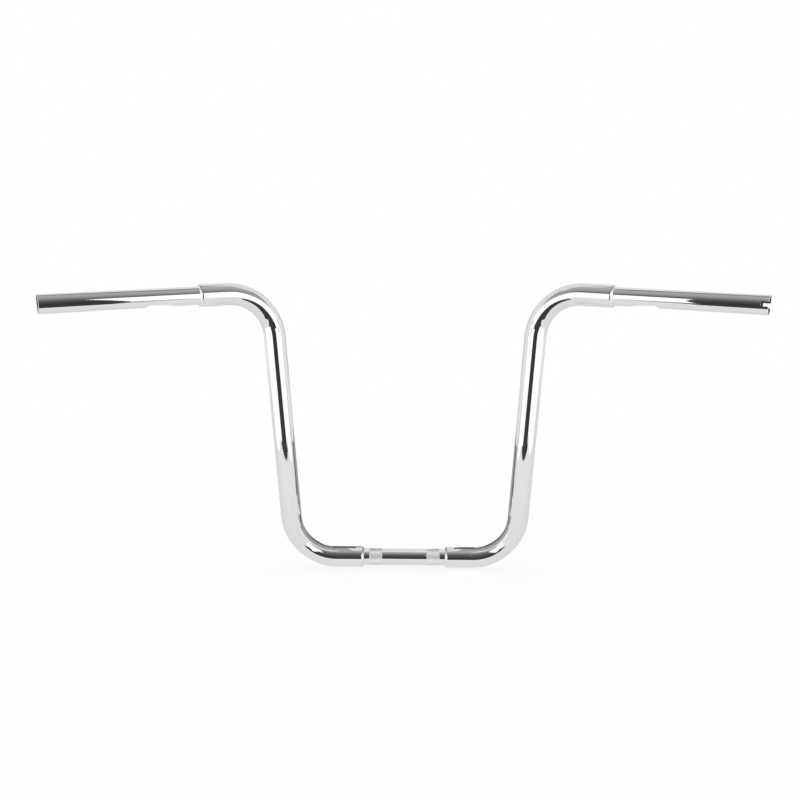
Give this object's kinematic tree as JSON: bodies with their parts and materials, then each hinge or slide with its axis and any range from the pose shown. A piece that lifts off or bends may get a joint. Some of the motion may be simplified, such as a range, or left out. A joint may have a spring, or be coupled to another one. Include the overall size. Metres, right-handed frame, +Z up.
{
  "type": "motorcycle handlebar",
  "caption": "Tall stepped motorcycle handlebar: thick bent riser tubes welded to a slim knurled clamp tube and to slim swept-back grip tubes with wiring dimples and throttle notches.",
  "frame": {"origin": "centre of the clamp tube, on its axis and midway between its knurled bands", "axes": "+X along the clamp tube to the rider's right, +Y forward, +Z up, with the bar leaned back in its clamps as it is ridden"},
  "size_m": [0.9267, 0.2709, 0.4256],
  "materials": {
    "chrome_tube": "mirror polished",
    "chrome_weld": "dressed and polished"
  },
  "bodies": {
    "root": {"centre_clamp_tube": "chrome_tube", "left_riser_tube": "chrome_tube", "right_riser_tube": "chrome_tube", "left_grip_tube": "chrome_tube", "right_grip_tube": "chrome_tube", "left_lower_weld": "chrome_weld", "right_lower_weld": "chrome_weld", "left_upper_weld": "chrome_weld", "right_upper_weld": "chrome_weld"}
  },
  "joints": []
}
